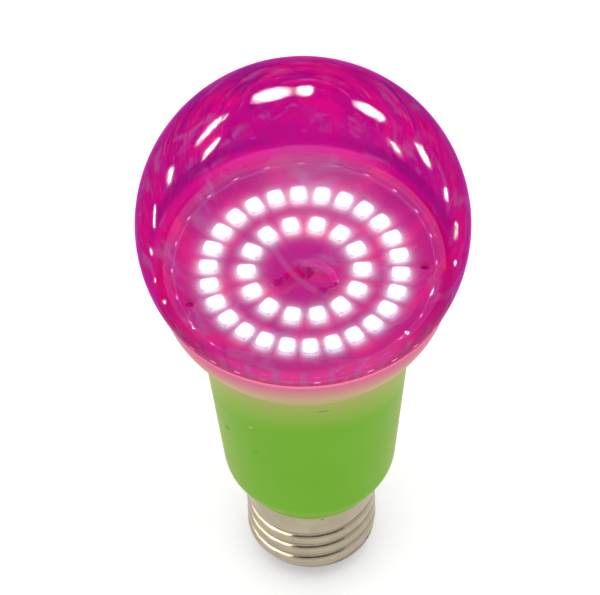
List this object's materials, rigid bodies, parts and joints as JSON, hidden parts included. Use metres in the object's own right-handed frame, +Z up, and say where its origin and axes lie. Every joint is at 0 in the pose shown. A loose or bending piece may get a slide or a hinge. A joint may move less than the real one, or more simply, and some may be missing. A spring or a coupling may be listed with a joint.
{
  "type": "led grow light bulb",
  "caption": "LED grow light bulb: clear magenta globe over a round board with rings of LEDs, green moulded housing with an aluminium liner and mains driver inside, and an E26 screw cap.",
  "frame": {"origin": "tip of the centre contact, on the bulb's axis", "axes": "+Z up the bulb's axis from the screw cap to the globe; -Y is the front, as in the picture"},
  "size_m": [0.065, 0.065, 0.1345],
  "materials": {
    "clear_magenta": "clear, tinted, polished",
    "green_plastic": "moulded, semi-gloss",
    "aluminium": "bright",
    "board_white": "white solder mask on aluminium",
    "led_body": "moulded",
    "led_light": "lit, silicone fill",
    "lead_white": "extruded insulation",
    "lead_red": "extruded insulation",
    "solder": "bright solder",
    "nickel": "nickel plated",
    "insulator": "moulded",
    "contact_metal": "plated",
    "circuit_board": "solder mask",
    "capacitor_sleeve": "shrunk sleeve",
    "ferrite": "fired",
    "winding_tape": "tape",
    "film_box": "dipped",
    "resistor_body": "coated",
    "chip_black": "moulded"
  },
  "bodies": {
    "root": {"globe": "clear_magenta", "housing": "green_plastic", "heat_sink_cup": "aluminium", "led_board": "board_white", "outer_led_packages": "led_body", "inner_led_packages": "led_body", "outer_led_windows": "led_light", "inner_led_windows": "led_light", "led_lead_right": "lead_white", "led_lead_left": "lead_red", "led_lead_tips": "solder", "led_solder_joints": "solder", "screw_shell": "nickel", "base_insulator": "insulator", "centre_contact": "contact_metal", "driver_board": "circuit_board", "smoothing_capacitor": "capacitor_sleeve", "inductor_core": "ferrite", "inductor_winding": "winding_tape", "film_capacitor": "film_box", "filter_choke": "ferrite", "fusible_resistor": "resistor_body", "bridge_rectifier": "chip_black", "driver_chip": "chip_black", "chip_resistors": "chip_black", "live_wire": "lead_red", "neutral_wire": "lead_white"}
  },
  "joints": []
}
